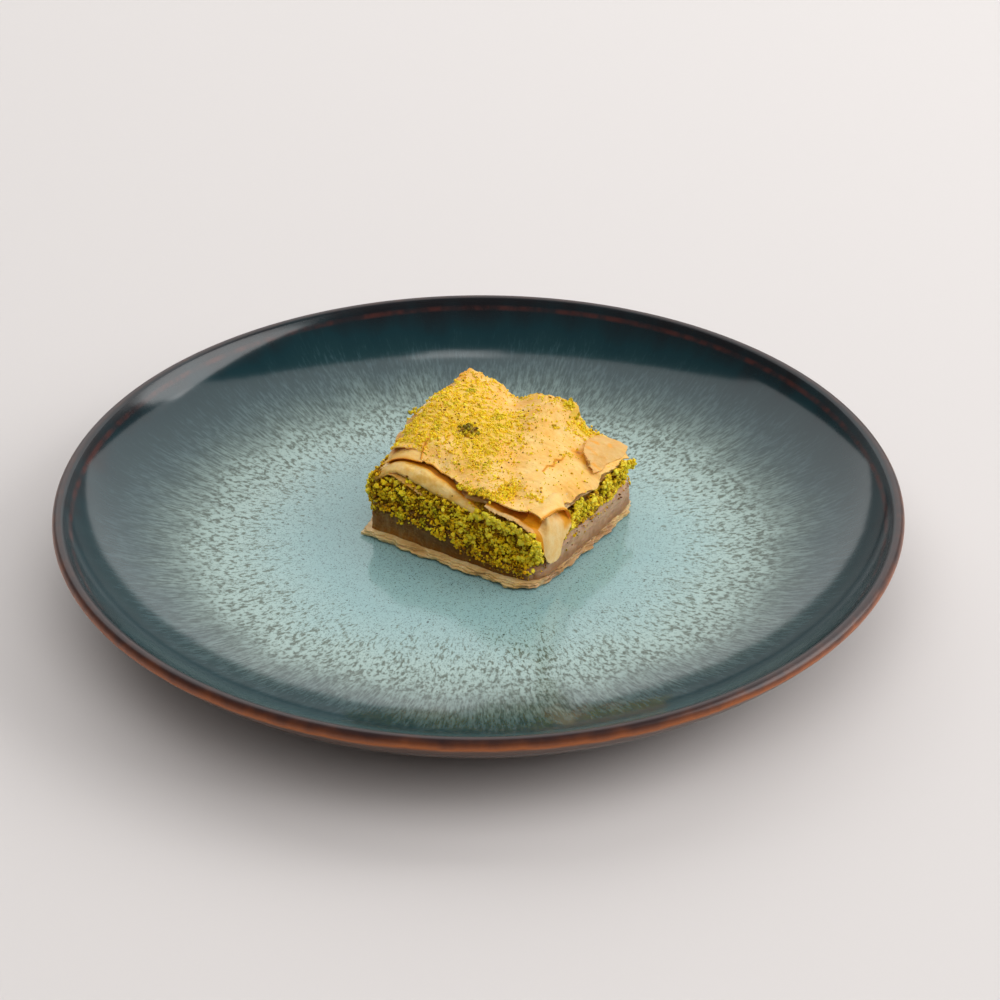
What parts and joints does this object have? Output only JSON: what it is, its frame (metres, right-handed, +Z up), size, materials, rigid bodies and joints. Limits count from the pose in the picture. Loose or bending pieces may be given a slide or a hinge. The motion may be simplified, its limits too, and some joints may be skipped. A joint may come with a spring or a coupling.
{
  "type": "baklava on a plate",
  "caption": "Square of pistachio baklava with a lifted, crumb-dusted pastry top, on a round shallow stoneware plate with a foot ring.",
  "frame": {"origin": "middle of the plate's foot ring, on the surface that it stands on", "axes": "+Z up, +X and +Y along the cake's cut sides: its front side faces -Y and its right side faces +X"},
  "size_m": [0.21, 0.21, 0.0349],
  "materials": {
    "reactive_glaze": "glossy reactive glaze, pale turquoise well, slate blue wall, brown lip",
    "crust": "crisp baked pastry, slightly oily",
    "soaked_sheets": "moist, syrup-soaked, satin",
    "ground_pistachio": "grainy, matt",
    "baked_pastry": "thin crisp sheets with a buttery sheen"
  },
  "bodies": {
    "root": {"plate": "reactive_glaze", "base_crust": "crust", "soaked_layer": "soaked_sheets", "pistachio_layer": "ground_pistachio", "top_pastry": "baked_pastry"}
  },
  "joints": []
}
